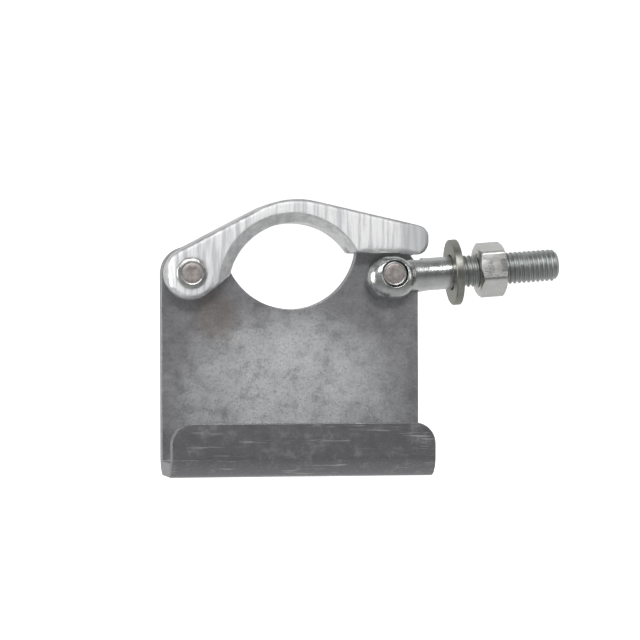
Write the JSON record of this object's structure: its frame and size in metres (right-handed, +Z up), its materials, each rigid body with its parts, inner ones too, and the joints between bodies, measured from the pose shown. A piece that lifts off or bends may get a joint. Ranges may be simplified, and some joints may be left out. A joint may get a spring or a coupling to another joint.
{
  "type": "scaffold coupler clamp",
  "caption": "Board-retaining scaffold coupler: bent steel plate with a lip, a hinged flap over the tube cut-out, and a swing bolt with washer and nut.",
  "frame": {"origin": "on the axis of the 48.3 mm tube that the coupler clamps, halfway through the plate's thickness", "axes": "+X from the flap's hinge to the swing bolt, +Y along the tube away from the lip, +Z up from the shelf to the tube"},
  "size_m": [0.1468, 0.0455, 0.0991],
  "materials": {
    "plate_zinc": "galvanised pressed sheet, mottled satin grey",
    "forged_zinc": "bright zinc on a drop forging, with die and grinding marks",
    "bolt_zinc": "bright zinc plated, smooth",
    "rivet_steel": "bare steel, dull brownish grey where it was hammered over",
    "washer_zinc": "zinc plated with a yellowish tint",
    "nut_zinc": "bright zinc plated, satin flats"
  },
  "bodies": {
    "plate": {"body_plate": "plate_zinc", "flap_rivet": "rivet_steel", "bolt_rivet": "rivet_steel"},
    "flap": {"flap": "forged_zinc"},
    "bolt": {"swing_bolt": "bolt_zinc"},
    "nut": {"hex_nut": "nut_zinc"},
    "washer": {"flat_washer": "washer_zinc"}
  },
  "joints": [
    {"name": "flap_hinge", "type": "hinge", "parent": "plate", "child": "flap", "pos_m": [-0.0371, 0, -0.0118], "axis": [0, -1, 0], "range_deg": [0, 160]},
    {"name": "bolt_swing", "type": "hinge", "parent": "plate", "child": "bolt", "pos_m": [0.0371, 0, -0.0118], "axis": [0, -1, 0], "range_deg": [0, 70]},
    {"name": "nut_travel", "type": "slide", "parent": "bolt", "child": "nut", "axis": [0.9973, 0, 0.0732], "range_m": [0, 0.0196]},
    {"name": "washer_slide", "type": "slide", "parent": "nut", "child": "washer", "axis": [0.9973, 0, 0.0732], "range_m": [0, 0.0069]}
  ]
}
